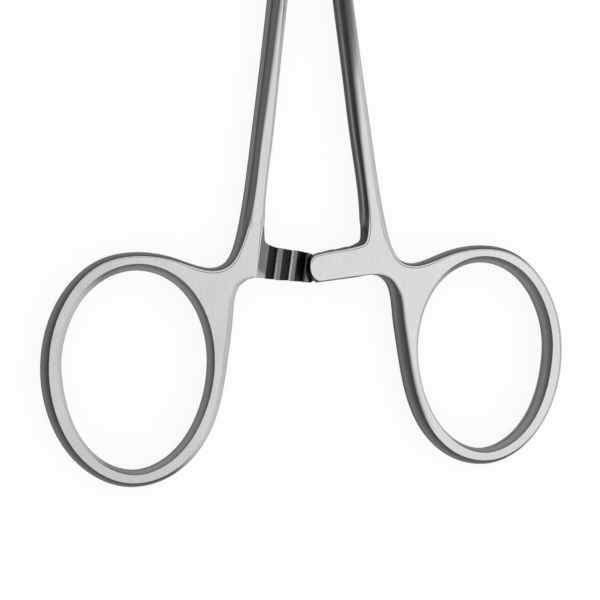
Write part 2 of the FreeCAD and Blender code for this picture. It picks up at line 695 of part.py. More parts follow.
def make_female_half():
    """The half with the slotted box: ring at the left, jaw at the right, teeth facing up."""
    body = doc.addObject("PartDesign::Body", "female_half")
    body.Label = "female_half"
    add_lever(body, "female", -1)
    add_root(body, "female", -1)
    add_levels(body, "box", box_path)
    add_jaw(body, "female", 1)
    add_slot(body)
    revolve(body, "PartDesign::Groove", "rivet_seat", rivet_profile(body, "rivet_seat_profile"))
    add_ratchet(body, "female", -1, True)
    add_serrations(body, "female", 1)
    return body


def make_male_half():
    """The half that passes through the box: ring at the right, jaw at the left, teeth facing down."""
    body = doc.addObject("PartDesign::Body", "male_half")
    body.Label = "male_half"
    add_lever(body, "male", 1)
    add_root(body, "male", 1)
    add_levels(body, "rear_shoulder", lambda width: shoulder_path(width, False))
    add_tongue(body)
    add_levels(body, "front_shoulder", lambda width: shoulder_path(width, True))
    add_jaw(body, "male", -1)
    add_bore(body)
    add_ratchet(body, "male", 1, False)
    add_serrations(body, "male", -1)
    return body


def make_pivot_pin():
    """The rivet that holds the halves together."""
    body = doc.addObject("PartDesign::Body", "pivot_pin")
    body.Label = "pivot_pin"
    revolve(body, "PartDesign::Revolution", "rivet", rivet_profile(body, "rivet_section"))
    return body


pieces = [make_female_half(), make_male_half(), make_pivot_pin()]
doc.recompute()
for item in doc.Objects:
    if "Invalid" in item.State or "Error" in item.State:
        raise RuntimeError("%s could not be built: %s" % (item.Name, item.State))
for piece in pieces:
    if piece.Shape.isNull() or not piece.Shape.isValid() or len(piece.Shape.Solids) != 1:
        raise RuntimeError("%s is not one valid solid" % piece.Label)

os.makedirs("parts", exist_ok=True)
for piece in pieces:
    piece.Shape.exportStep("parts/%s.step" % piece.Label)
    print("%s: %.1f mm3" % (piece.Label, piece.Shape.Volume))
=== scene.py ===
"""Dresses a needle holder: brushed flats, dark rounded walls, broken edges and a ratchet, with
painted reflections, painted shade, painted light and painted highlights in the steel's greys.
"""

import logging
import math
from dataclasses import dataclass, field
from enum import Enum

import bmesh
import bpy
import numpy as np
from mathutils import Matrix, Vector


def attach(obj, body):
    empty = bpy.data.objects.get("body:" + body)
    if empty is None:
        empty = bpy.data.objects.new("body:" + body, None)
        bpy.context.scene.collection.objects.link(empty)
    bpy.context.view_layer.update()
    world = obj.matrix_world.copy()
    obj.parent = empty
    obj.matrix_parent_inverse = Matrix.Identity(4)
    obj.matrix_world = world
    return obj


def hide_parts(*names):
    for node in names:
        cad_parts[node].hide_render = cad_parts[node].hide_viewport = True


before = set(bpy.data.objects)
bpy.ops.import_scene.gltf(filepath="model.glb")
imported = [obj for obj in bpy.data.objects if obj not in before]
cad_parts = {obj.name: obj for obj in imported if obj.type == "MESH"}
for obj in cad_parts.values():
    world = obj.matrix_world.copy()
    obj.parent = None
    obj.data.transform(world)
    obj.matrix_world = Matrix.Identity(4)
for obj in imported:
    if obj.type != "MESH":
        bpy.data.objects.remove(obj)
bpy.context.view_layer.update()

# Metres in a millimetre.
MM = 0.001
LOG = logging.getLogger("needle_holder")

# The two ends of a range, or a place across and along.
Pair = tuple[float, float]

# The points of a curve, each a place from 0 to 1 and the value there.
Points = tuple[Pair, ...]

# What a shader node takes: another node's output, or a number.
Socket = bpy.types.NodeSocket
Value = Socket | float


# Heights and places shared with the solids


@dataclass(frozen=True)
class Lever:
    """Sizes of the solids that the finishes are laid out by, in millimetres.

    Attributes:
        middle: Height of the mid thickness.
        half_lever: Half the thickness of shanks, arms and rings.
        arm_face: Height of a toothed face above or below mid thickness.
        tooth_depth: Depth of a ratchet tooth.
        shaded_teeth: Where the teeth whose steep faces get painted shade start, past the middle
            plane.
        arm_reach: How far from the middle plane the toothed faces run.
        arm_low: Lowest place of the arms along the instrument.
        arm_high: Highest place of the arms along the instrument.
        fork: Where the shanks start, along the instrument.
        foot: Where the shanks end in web and arm, along the instrument.
        ring: The middle of a ring: from the middle plane and along the instrument.
        ring_half: Half the width and length of the ring's flat, to its outer edge.
        ring_split: The share of ring_half where the middle line of the flat runs.
        crotch: The bottom of the crotch between shank and ring.
        inner_crotch: The bottom of the crotch between shank and arm.
        rivet: The rivet's radius.
    """

    middle: float = 2.5
    half_lever: float = 1.8
    arm_face: float = 0.05
    tooth_depth: float = 0.6
    shaded_teeth: float = -1.7
    arm_reach: float = 9.0
    arm_low: float = -76.5
    arm_high: float = -66.5
    fork: float = -35.0
    foot: float = -65.0
    ring: Pair = (25.92, -85.96)
    ring_half: Pair = (12.1, 15.8)
    ring_split: float = 0.95
    crotch: Pair = (14.8, -72.65)
    inner_crotch: Pair = (7.6, -69.0)
    rivet: float = 1.7


LEVER = Lever()


def ease(values: np.ndarray, low: float, high: float) -> np.ndarray:
    """A smooth step: 0 at low, 1 at high, and 3t^2 - 2t^3 of the share t between.

    Args:
        values: The values to step by.
        low: Where the step starts.
        high: Where the step ends.

    Returns:
        The step's height at each value.
    """
    share = np.clip((values - low) / (high - low), 0.0, 1.0)
    return share * share * (3.0 - 2.0 * share)


# Shader building blocks


class Nodes:
    """A small builder round a node tree."""

    def __init__(self, tree: bpy.types.NodeTree) -> None:
        """Starts an empty tree.

        Args:
            tree: The material's or group's node tree.
        """
        self.tree = tree
        tree.nodes.clear()

    def add(self, kind: str, **settings: object) -> bpy.types.Node:
        """Adds a node and sets its properties.

        Args:
            kind: The node's type name, without the ShaderNode prefix.
            settings: Properties of the node.

        Returns:
            The new node.
        """
        name = kind if kind.startswith("Node") else "ShaderNode" + kind
        node = self.tree.nodes.new(name)
        for key, value in settings.items():
            setattr(node, key, value)
        return node

    def link(self, source: Socket, target: Socket) -> None:
        """Links an output to an input."""
        self.tree.links.new(source, target)

    def math(self, operation: str, first: Value, second: Value = 0.0,
             clamp: bool = False) -> Socket:
        """A Math node on two values.

        Args:
            operation: The node's operation.
            first: First value.
            second: Second value.
            clamp: Whether the result is kept between 0 and 1.

        Returns:
            The node's output socket.
        """
        node = self.add("Math", operation=operation, use_clamp=clamp)
        for socket, value in zip(node.inputs, (first, second)):
            self.put(value, socket)
        return node.outputs[0]

    def put(self, value: Value, socket: Socket) -> None:
        """Sets an input to a number, or links it to a socket."""
        if isinstance(value, (int, float)):
            socket.default_value = value
        else:
            self.link(value, socket)

    def step(self, value: Value, low: Value, high: Value) -> Socket:
        """A smooth step between two values: 0 at low and 1 at high."""
        node = self.add("MapRange", interpolation_type="SMOOTHSTEP")
        for socket, entry in zip(node.inputs, (value, low, high)):
            self.put(entry, socket)
        return node.outputs[0]

    def mix(self, share: Value, first: Value, second: Value) -> Socket:
        """Goes from the first value to the second by a share."""
        node = self.add("Mix", data_type="FLOAT")
        for index, entry in ((0, share), (2, first), (3, second)):
            self.put(entry, node.inputs[index])
        return node.outputs[0]

    def rest(self, share: Value) -> Socket:
        """What is left of 1 beside a share."""
        return self.math("SUBTRACT", 1.0, share)

    def place(self, start: bpy.types.Node) -> list[Socket]:
        """Splits a group's place into its parts across, along and up, in millimetres."""
        split = self.add("SeparateXYZ")
        self.link(start.outputs["Place"], split.inputs[0])
        return [self.math("DIVIDE", split.outputs[axis], MM) for axis in "XYZ"]

    def curve(self, value: Socket, points: Points, most: float) -> Socket:
        """Reads a value off a line of straight pieces through points.

        Args:
            value: The place on the line, a socket from 0 to 1.
            points: The line's points: a place from 0 to 1 and a value from 0 to the greatest value.
            most: The greatest value.

        Returns:
            The node's output socket.
        """
        node = self.add("FloatCurve")
        line = node.mapping.curves[0]
        for index, (where, height) in enumerate(points):
            if index < len(line.points):
                line.points[index].location = (where, height / most)
            else:
                line.points.new(where, height / most)
        for point in line.points:
            point.handle_type = "VECTOR"
        node.mapping.update()
        self.link(value, node.inputs["Value"])
        return self.math("MULTIPLY", node.outputs[0], most)


def new_group(name: str, outputs: tuple[str, ...], inputs: tuple[str, ...] = ()) -> tuple:
    """Makes a shader node group that reads the place on the piece.

    Args:
        name: The group's name.
        outputs: The names of its outputs, each a number.
        inputs: The names of its other inputs, each a number.

    Returns:
        The group, its builder, its input node and its output node.
    """
    group = bpy.data.node_groups.new(name, "ShaderNodeTree")
    nodes = Nodes(group)
    group.interface.new_socket(name="Place", in_out="INPUT", socket_type="NodeSocketVector")
    for label in inputs:
        group.interface.new_socket(name=label, in_out="INPUT", socket_type="NodeSocketFloat")
    for label in outputs:
        group.interface.new_socket(name=label, in_out="OUTPUT", socket_type="NodeSocketFloat")
    return group, nodes, nodes.add("NodeGroupInput"), nodes.add("NodeGroupOutput")


@dataclass(frozen=True)
class BrushMarks:
    """Brush marks along the instrument: fine noise squeezed across it, under broad clouds.

    The tone is 1 plus the contrast times the marks and a share of the clouds, both taken about 0.

    Attributes:
        squeeze: How many marks lie in a metre across, along and through the instrument.
        detail: How many finer layers the marks have.
        finer: Strength of each finer layer against the one before.
        clouds: How many clouds lie in a metre.
        cloud_share: Strength of the clouds against the marks.
    """

    squeeze: tuple[float, float, float] = (9000.0, 260.0, 3000.0)
    detail: float = 3.0
    finer: float = 0.65
    clouds: float = 90.0
    cloud_share: float = 0.6

    def group(self) -> bpy.types.NodeTree:
        """Builds the node group, with the marks' tone and their height."""
        group, nodes, start, end = new_group("brush_marks", ("Tone", "Height"), ("Contrast",))
        stretch = nodes.add("Mapping")
        stretch.inputs["Scale"].default_value = self.squeeze
        nodes.link(start.outputs["Place"], stretch.inputs["Vector"])
        fine = nodes.add("TexNoise", noise_dimensions="3D")
        fine.inputs["Scale"].default_value = 1.0
        fine.inputs["Detail"].default_value = self.detail
        fine.inputs["Roughness"].default_value = self.finer
        nodes.link(stretch.outputs[0], fine.inputs["Vector"])
        broad = nodes.add("TexNoise", noise_dimensions="3D")
        broad.inputs["Scale"].default_value = self.clouds
        broad.inputs["Detail"].default_value = 1.0
        nodes.link(start.outputs["Place"], broad.inputs["Vector"])
        marks = nodes.math("SUBTRACT", fine.outputs[0], 0.5)
        clouds = nodes.math("SUBTRACT", broad.outputs[0], 0.5)
        both = nodes.math("ADD", marks, nodes.math("MULTIPLY", clouds, self.cloud_share))
        change = nodes.math("MULTIPLY", both, start.outputs["Contrast"])
        nodes.link(nodes.math("ADD", change, 1.0), end.inputs["Tone"])
        nodes.link(fine.outputs[0], end.inputs["Height"])
        return group


@dataclass(frozen=True)
class Shades:
    """How the greys of walls and flats change over the instrument.

    A wall's grey is a painted dark reflection that follows its depth: 0 at the flat's height and 1
    at mid thickness. Each list of points for a wall holds a depth and a grey, linear. The walls at
    a ring's top and bottom have a lighter painted reflection near the flat.

    The left border of each shank's flat is a straight run from the fork to the foot. The painted
    dark reflection of the wall there runs onto the flat and fades out over a reach, whose points
    hold a share of the way from fork to foot and a length in millimetres. The right ring has the
    same painted reflection along the left border of its flat, whose points hold a share of the
    way down and a distance from the middle plane.

    Attributes:
        rim: The painted reflection on the outer walls of rings, web and box lock.
        hole: The painted reflection on the walls of the finger holes.
        left_shank: The painted reflection on the walls of the left shank.
        right_shank: The painted reflection on the walls of the right shank.
        left_border: The left shank's border at the fork and at the foot, from the middle plane.
        right_border: The right shank's border at the fork and at the foot, from the middle plane.
        left_reach: The reach on the left shank's flat.
        right_reach: The reach on the right shank's flat.
        left_painted_reflection: Grey of the painted dark reflection on the left shank's flat.
        right_painted_reflection: Grey of the painted dark reflection on the right shank's flat and
            the right ring's.
        foot_fade: Where the shank's greys set in, from the foot up.
        fork_fade: Where they end, from the fork up.
        ring_run: Where the right ring's border starts and ends, along the instrument.
        ring_border: The border of the right ring's flat.
        ring_reach: The reach on the right ring's flat.
        ring_start: Shares of the ring's border between which its painted reflection sets in.
        ring_end: Shares of the ring's border between which its painted reflection ends.
        overlap: How far outside a border the painted reflection is still whole, in millimetres.
        rim_lift: How much lighter the painted reflection on the outer wall is at a ring's top and
            bottom, as a share.
        hole_lift: How much lighter the painted reflection on the hole's wall is at its top and
            bottom, as a share.
        brightest: The grey that stands for 1 on the walls' curves.
        longest: The reach that stands for 1 on the reaches' curves.
        widest: The distance that stands for 1 on the ring's curve.
    """

    rim: Points = ((0.0, 0.050), (0.12, 0.068), (0.25, 0.10), (0.38, 0.13), (0.5, 0.155),
                   (0.65, 0.165), (0.8, 0.14), (1.0, 0.075))
    hole: Points = ((0.0, 0.080), (0.12, 0.10), (0.25, 0.145), (0.5, 0.19), (0.8, 0.19),
                    (1.0, 0.13))
    left_shank: Points = ((0.0, 0.105), (0.1, 0.14), (0.28, 0.145), (0.37, 0.08), (0.43, 0.08),
                          (0.5, 0.18), (0.75, 0.19), (0.9, 0.15), (1.0, 0.09))
    right_shank: Points = ((0.0, 0.045), (0.2, 0.052), (0.28, 0.085), (0.36, 0.17), (0.42, 0.27),
                           (0.5, 0.20), (0.62, 0.085), (0.8, 0.075), (1.0, 0.08))
    left_border: Pair = (4.98, 9.48)
    right_border: Pair = (4.38, 7.86)
    left_reach: Points = ((0.0, 0.62), (0.3, 0.62), (0.5, 0.52), (0.65, 0.36), (1.0, 0.36))
    right_reach: Points = ((0.0, 3.4), (0.13, 2.8), (0.24, 1.9), (0.37, 1.0), (0.5, 0.8),
                           (0.65, 0.56), (1.0, 0.62))
    left_painted_reflection: float = 0.11
    right_painted_reflection: float = 0.05
    foot_fade: Pair = (-2.5, 1.0)
    fork_fade: Pair = (1.0, 10.0)
    ring_run: Pair = (-75.0, -99.0)
    ring_border: Points = ((0.0, 11.9), (0.044, 12.34), (0.079, 12.59), (0.128, 12.80),
                           (0.236, 13.08), (0.350, 13.49), (0.510, 14.11), (0.598, 14.51),
                           (0.669, 14.92), (0.731, 15.37), (0.786, 15.87), (0.835, 16.43),
                           (0.974, 18.75), (1.0, 19.3))
    ring_reach: float = 0.62
    ring_start: Pair = (0.01, 0.08)
    ring_end: Pair = (0.76, 0.94)
    overlap: float = 0.12
    rim_lift: float = 0.38
    hole_lift: float = 1.1
    brightest: float = 0.3
    longest: float = 4.0
    widest: float = 20.0

    def group(self) -> bpy.types.NodeTree:
        """Builds the node group.

        Returns:
            The node group, with the walls' painted grey and the mask and grey of the flats' painted
            reflection.
        """
        group, nodes, start, end = new_group("shades", ("Wall", "Painted Reflection", "Painted Reflection Grey"))
        across, along, height = nodes.place(start)
        rise = nodes.math("ABSOLUTE", nodes.math("SUBTRACT", height, LEVER.middle))
        depth = nodes.math("SUBTRACT", 1.0, nodes.math("DIVIDE", rise, LEVER.half_lever), True)
        right = nodes.math("GREATER_THAN", across, 0.0)
        past_foot = nodes.step(along, *(LEVER.foot + offset for offset in self.foot_fade))
        past_fork = nodes.step(along, *(LEVER.fork + offset for offset in self.fork_fade))
        shank = nodes.math("MULTIPLY", past_foot, nodes.rest(past_fork))
        shanks = nodes.math("MULTIPLY", self._shank_painted_reflection(nodes, across, along, right), shank)
        ring = nodes.math("MULTIPLY", self._ring_painted_reflection(nodes, across, along), right)
        wall = self._wall(nodes, (across, along), depth, shank, right)
        nodes.link(wall, end.inputs["Wall"])
        nodes.link(nodes.math("MAXIMUM", shanks, ring), end.inputs["Painted Reflection"])
        grey = nodes.mix(right, self.left_painted_reflection, self.right_painted_reflection)
        nodes.link(grey, end.inputs["Painted Reflection Grey"])
        return group

    def _shank_painted_reflection(self, nodes: Nodes, across: Socket, along: Socket, right: Socket) -> Socket:
        """The painted dark reflection along the left borders of the shanks' flats.

        Args:
            nodes: The group's builder.
            across: The place across the instrument, in millimetres.
            along: The place along the instrument, in millimetres.
            right: 1 on the right half of the instrument.

        Returns:
            The painted reflection's mask.
        """
        way = nodes.math("SUBTRACT", LEVER.fork, along)
        run = nodes.math("DIVIDE", way, LEVER.fork - LEVER.foot)
        share = nodes.math("MULTIPLY", run, 1.0, clamp=True)
        left_edge = nodes.mix(run, -self.left_border[0], -self.left_border[1])
        right_edge = nodes.mix(run, *self.right_border)
        gap = nodes.math("SUBTRACT", across, nodes.mix(right, left_edge, right_edge))
        reaches = (nodes.curve(share, points, self.longest)
                   for points in (self.left_reach, self.right_reach))
        return nodes.rest(nodes.step(gap, -self.overlap, nodes.mix(right, *reaches)))

    def _ring_painted_reflection(self, nodes: Nodes, across: Socket, along: Socket) -> Socket:
        """The painted dark reflection along the left border of the right ring's flat.

        Args:
            nodes: The group's builder.
            across: The place across the instrument, in millimetres.
            along: The place along the instrument, in millimetres.

        Returns:
            The painted reflection's mask.
        """
        start, stop = self.ring_run
        share = nodes.math("DIVIDE", nodes.math("SUBTRACT", start, along), start - stop, clamp=True)
        gap = nodes.math("SUBTRACT", across, nodes.curve(share, self.ring_border, self.widest))
        mask = nodes.rest(nodes.step(gap, -self.overlap, self.ring_reach))
        before_end = nodes.rest(nodes.step(share, *self.ring_end))
        ends = nodes.math("MULTIPLY", nodes.step(share, *self.ring_start), before_end)
        return nodes.math("MULTIPLY", mask, ends)

    def _wall(self, nodes: Nodes, place: tuple[Socket, Socket], depth: Socket, shank: Socket,
              right: Socket) -> Socket:
        """The walls' grey, a painted dark reflection.

        A wall belongs to the hole where the squares of its place about the ring's middle, each
        measured in halves of the ring's flat, sum to less than the square of the split.

        Args:
            nodes: The group's builder.
            place: The place across and along the instrument, in millimetres.
            depth: The depth down the wall.
            shank: The mask of the shanks.
            right: 1 on the right half of the instrument.

        Returns:
            The grey's socket.
        """
        out = nodes.math("SUBTRACT", nodes.math("ABSOLUTE", place[0]), LEVER.ring[0])
        up = nodes.math("SUBTRACT", place[1], LEVER.ring[1])
        square = [nodes.math("POWER", nodes.math("DIVIDE", part, half), 2.0)
                  for part, half in zip((out, up), LEVER.ring_half)]
        inside = nodes.math("LESS_THAN", nodes.math("ADD", *square), LEVER.ring_split ** 2)
        rim, hole, left, far = (nodes.curve(depth, points, self.brightest) for points in
                                (self.rim, self.hole, self.left_shank, self.right_shank))
        end = nodes.math("MULTIPLY", square[1], 1.0, clamp=True)
        near = nodes.math("MULTIPLY", end, nodes.rest(depth))
        lift = nodes.math("MULTIPLY", near, nodes.mix(inside, self.rim_lift, self.hole_lift))
        ring = nodes.math("MULTIPLY", nodes.mix(inside, rim, hole), nodes.math("ADD", lift, 1.0))
        return nodes.mix(shank, ring, nodes.mix(right, left, far))


@dataclass(frozen=True)
class RivetSeam:
    """The seam round the rivet: a smooth step of the distance from the pivot.

    Attributes:
        start: How far inside the rivet's rim the seam starts, in millimetres.
        end: How far inside the rivet's rim the seam is whole, in millimetres.
    """

    start: float = 0.16
    end: float = 0.06

    def group(self) -> bpy.types.NodeTree:
        """Builds the node group, with the seam's mask."""
        group, nodes, start, end = new_group("rivet_seam", ("Seam",))
        across, along, _ = nodes.place(start)
        squares = [nodes.math("POWER", part, 2.0) for part in (across, along)]
        radius = nodes.math("SQRT", nodes.math("ADD", *squares))
        seam = nodes.step(radius, LEVER.rivet - self.start, LEVER.rivet - self.end)
        nodes.link(seam, end.inputs["Seam"])
        return group


@dataclass(frozen=True)
class RootCorner:
    """A painted reflection: the lighter corner of the land at the arm's root, below a slanting
    line.

    Attributes:
        point: A point of the line: from the middle plane and along the instrument.
        slope: How far the line rises for each millimetre away from the middle plane.
        fade: How far below the line the corner is whole, in millimetres.
    """

    point: Pair = (7.6, -72.6)
    slope: float = 0.9
    fade: float = 1.1

    def group(self) -> bpy.types.NodeTree:
        """Builds the node group, with the corner's mask."""
        group, nodes, start, end = new_group("root_corner", ("Corner",))
        across, along, _ = nodes.place(start)
        out = nodes.math("SUBTRACT", nodes.math("ABSOLUTE", across), self.point[0])
        rise = nodes.math("SUBTRACT", along, self.point[1])
        below = nodes.math("SUBTRACT", nodes.math("MULTIPLY", out, self.slope), rise)
        nodes.link(nodes.step(below, 0.0, self.fade), end.inputs["Corner"])
        return group


# Finishes, with painted light and shade


class Pattern(Enum):
    """What a finish changes by over the surface: a shared group's output or a mesh attribute."""

    # Painted dark reflection: the greys of the walls.
    WALL = ("shades", "Wall")
    # Painted dark reflection that runs onto the flats.
    PAINTED_REFLECTION = ("shades", "Painted Reflection")
    # Painted reflection: the lighter corner of the tooth land.
    CORNER = ("root", "Corner")
    SEAM = ("seam", "Seam")
    # Painted shade on the walls of the ratchet arms.
    ARM = ("", "arm_painted_shade")
    # Painted light on the walls that face the right.
    LIT = ("", "lit")
    # The broken edge's width, which sets its painted highlight and the painted dark line.
    SHARE = ("", "edge_share")


class Dressing:
    """The shared groups and attributes that one material reads."""

    def __init__(self, nodes: Nodes, groups: dict[str, bpy.types.NodeTree]) -> None:
        """Starts without a group.

        Args:
            nodes: The material's builder.
            groups: The shared node groups by name.
        """
        self.nodes = nodes
        self.groups = groups
        self.place = nodes.add("TexCoord").outputs["Object"]
        self.placed: dict[str, bpy.types.Node] = {}

    def group(self, name: str) -> bpy.types.Node:
        """A shared group that reads the place on the piece, placed when first asked for."""
        if name not in self.placed:
            self.placed[name] = self.nodes.add("Group", node_tree=self.groups[name])
            self.nodes.link(self.place, self.placed[name].inputs["Place"])
        return self.placed[name]

    def output(self, pattern: Pattern) -> Socket:
        """A pattern's values, mostly a mask from 0 to 1."""
        group, name = pattern.value
        if group:
            return self.group(group).outputs[name]
        reader = self.nodes.add("Attribute", attribute_type="GEOMETRY", attribute_name=name)
        return reader.outputs["Fac"]


@dataclass(frozen=True)
class Steel:
    """One finish of the steel.

    Attributes:
        name: The material's name.
        tone: Base grey, linear, in whose place the walls' painted reflection grey comes.
        roughness: Mean roughness.
        contrast: Strength of the brush marks in the tone.
        relief: Strength of the brush marks in the bump.
        layers: Patterns that change the grey one after the other, each with the grey it leads to,
        or with a share of its own grey for the walls and the painted dark reflection.
        rim: Grey of the reflection where the surface turns out of sight.
        mark_height: Height of the brush marks in the bump, in millimetres.
        broad: Shares of the broken edge's width between which its painted highlight, and the
        painted dark line beside it, set in.
    """

    name: str
    tone: float
    roughness: float
    contrast: float
    relief: float = 0.0
    layers: tuple[tuple[Pattern, float], ...] = ()
    rim: float = 1.0
    mark_height: float = 0.02
    broad: Pair = (0.22, 0.6)

    def material(self, groups: dict[str, bpy.types.NodeTree]) -> bpy.types.Material:
        """Builds the material.

        Args:
            groups: The shared node groups by name.

        Returns:
            The material.
        """
        material = bpy.data.materials.new(self.name)
        material.use_nodes = True
        nodes = Nodes(material.node_tree)
        dressing = Dressing(nodes, groups)
        marks = dressing.group("brush")
        marks.inputs["Contrast"].default_value = self.contrast
        grey: Value = self.tone
        for pattern, tone in self.layers:
            grey = self._layer(dressing, pattern, grey, tone)
        tint = nodes.math("MULTIPLY", grey, marks.outputs["Tone"])
        gloss = nodes.math("MULTIPLY", marks.outputs["Tone"], self.roughness)
        shader = nodes.add("BsdfPrincipled")
        shader.inputs["Metallic"].default_value = 1.0
        shader.inputs["Specular Tint"].default_value = (self.rim, self.rim, self.rim, 1.0)
        nodes.link(tint, shader.inputs["Base Color"])
        nodes.link(gloss, shader.inputs["Roughness"])
        if self.relief > 0.0:
            bump = nodes.add("Bump")
            bump.inputs["Strength"].default_value = self.relief
            bump.inputs["Distance"].default_value = self.mark_height * MM
            nodes.link(marks.outputs["Height"], bump.inputs["Height"])
            nodes.link(bump.outputs[0], shader.inputs["Normal"])
        output = nodes.add("OutputMaterial")
        nodes.link(shader.outputs[0], output.inputs["Surface"])
        return material

    def _layer(self, dressing: Dressing, pattern: Pattern, grey: Value, tone: float) -> Socket:
        """Lays one pattern over a grey.

        Args:
            dressing: The groups and attributes of the material.
            pattern: The pattern.
            grey: The grey so far.
            tone: The grey that the pattern leads to, or the share of its own grey.

        Returns:
            The grey with the pattern.
        """
        nodes, mask = dressing.nodes, dressing.output(pattern)
        if pattern is Pattern.WALL:
            return nodes.math("MULTIPLY", mask, tone)
        if pattern is Pattern.PAINTED_REFLECTION:
            own = dressing.group("shades").outputs["Painted Reflection Grey"]
            return nodes.mix(mask, grey, nodes.math("MULTIPLY", own, tone))
        if pattern is Pattern.SHARE:
            mask = nodes.step(mask, *self.broad)
        # The painted light stays off the painted dark reflection.
        if pattern is Pattern.LIT:
            mask = nodes.math("MULTIPLY", mask, nodes.rest(dressing.output(Pattern.PAINTED_REFLECTION)))
        return nodes.mix(mask, grey, tone)


RIVET_STEEL = Steel("ground_rivet", tone=0.50, roughness=0.30, contrast=0.12, relief=0.15,
                    layers=((Pattern.SEAM, 0.07),))


class Finish(Enum):
    """The finishes of the two halves, in the order of their material slots."""

    # The flats keep the steel's own grey, with a painted dark reflection along the shanks' and the
    # right ring's borders.
    FLAT = Steel("satin_flat", tone=0.56, roughness=0.36, contrast=0.42, relief=0.3,
                 layers=((Pattern.PAINTED_REFLECTION, 1.0),))
    # The walls' greys are all painted: dark reflection by depth, shade on the ratchet arms, and
    # light where they face the right.
    SIDE = Steel("painted_side", tone=0.1, roughness=0.30, contrast=0.10, relief=0.05, rim=0.6,
                 layers=((Pattern.WALL, 1.0), (Pattern.ARM, 0.062), (Pattern.LIT, 0.60)))
    # The broken edge is real; its lighter grey where it is wide is a painted highlight, and the
    # line beside it is a painted dark line on the flat.
    EDGE = Steel("broken_edge", tone=0.56, roughness=0.26, contrast=0.05,
                 layers=((Pattern.SHARE, 0.74), (Pattern.PAINTED_REFLECTION, 1.0)))
    LINE = Steel("painted_dark_line", tone=0.56, roughness=0.30, contrast=0.10,
                 layers=((Pattern.SHARE, 0.17), (Pattern.PAINTED_REFLECTION, 1.0)))
    # The teeth are one steel in painted light and shade: painted shade on ramps and lands, and a
    # painted highlight on the steep faces.
    RAMP = Steel("tooth_ramp", tone=0.024, roughness=0.35, contrast=0.10)
    LAND = Steel("tooth_land", tone=0.15, roughness=0.35, contrast=0.6, relief=0.1,
                 layers=((Pattern.CORNER, 0.34),))
    STEEP = Steel("tooth_face", tone=0.95, roughness=0.30, contrast=0.10)


# Pieces


def read(items: bpy.types.bpy_prop_collection, name: str, width: int = 1,
         kind: type = float) -> np.ndarray:
    """Reads one property of a mesh's items.

    Args:
        items: The vertices, corners, faces or attribute values.
        name: The property's name.
        width: How many numbers each item holds.
        kind: The numbers' type.

    Returns:
        The numbers, with a row for each item where it holds more than one.
    """
    values = np.empty(len(items) * width, dtype=kind)
    items.foreach_get(name, values)
    return values.reshape(-1, width) if width > 1 else values


def mark_vertices(mesh: bpy.types.Mesh, name: str, values: np.ndarray) -> None:
    """Gives each vertex a number that the materials read under a name."""
    mesh.attributes.new(name, "FLOAT", "POINT").data.foreach_set("value", values)


@dataclass(frozen=True)
class Breaks:
    """How wide and deep the broken edge is at each place, as a share of its greatest measure.

    Attributes:
        root_reach: How far under the crotch the broad broken edge goes on, in millimetres.
        least: The least share.
        crotch: Distances from the crotch over which the share fades, in millimetres.
        inner_crotch: Distances from the inner crotch over which the share fades, in millimetres.
        arm: The share along the ratchet arm.
        arm_start: How far above the arm's lower end its share starts, in millimetres.
        top: The share over the ring's top.
        top_angles: Angles about the ring's middle between which that share sets in, in degrees.
    """

    root_reach: float = 2.4
    least: float = 0.2
    crotch: Pair = (2.5, 7.0)
    inner_crotch: Pair = (2.5, 4.5)
    arm: float = 0.7
    arm_start: float = 4.6
    top: float = 0.4
    top_angles: Pair = (35.0, 75.0)

    def share(self, place: np.ndarray) -> np.ndarray:
        """The share: 1 in the crotches, less over the ring's top and along the arm.

        With r the distance from a crotch, its share is 1 less a smooth step of r. Over the ring,
        the share is a smooth step of the angle about the ring's middle, on the outer side of its
        flat. The result is the least share plus the rest of 1 times the greatest of these.

        Args:
            place: Places across and along the instrument, in millimetres.

        Returns:
            The share at each place.
        """
        spread, along = np.abs(place[:, 0]), place[:, 1]
        out, up = spread - LEVER.ring[0], along - LEVER.ring[1]
        outside = np.hypot(out / LEVER.ring_half[0], up / LEVER.ring_half[1]) > LEVER.ring_split
        past_arm, under_foot = spread > LEVER.arm_reach, along < LEVER.foot
        crotch, inner = (1.0 - ease(np.hypot(spread - point[0], along - point[1]), *fade)
                         for point, fade in ((LEVER.crotch, self.crotch),
                                             (LEVER.inner_crotch, self.inner_crotch)))
        crotch *= outside & past_arm & (along > LEVER.crotch[1] - self.root_reach)
        arm = self.arm * ((spread < LEVER.arm_reach) & (along > LEVER.arm_low + self.arm_start)
                          & under_foot)
        top = self.top * outside * under_foot * past_arm
        top = top * ease(np.degrees(np.arctan2(up, out)), *self.top_angles)
        most = np.maximum(np.maximum(crotch, inner), np.maximum(arm, top))
        return self.least + (1.0 - self.least) * most


@dataclass(frozen=True)
class Limits:
    """How the faces of a half are told apart. Parts of a normal go from 0 to 1.

    Attributes:
        merge: Distance under which two vertices are one, in metres.
        join: Angle up to which neighbouring triangles become one face, in degrees.
        crease: Angle above which an edge is sharp, in degrees.
        level: How far a face of the flats may lie from their height, in millimetres.
        upright: The least part up or down in the normal of a face of the flats.
        facing: The least part up or down in the normal of a face that is finished as a flat.
        ramp: The least part towards the teeth's side in the normal of a tooth's ramp.
        lengthwise: The most part along the instrument in the normal of a tooth's ramp or face.
        tooth_room: How far past the teeth's depth a face of theirs may lie, in millimetres.
    """

    merge: float = 1e-7
    join: float = 0.4
    crease: float = 24.0
    level: float = 0.01
    upright: float = 0.999
    facing: float = 0.97
    ramp: float = 0.15
    lengthwise: float = 0.35
    tooth_room: float = 0.02


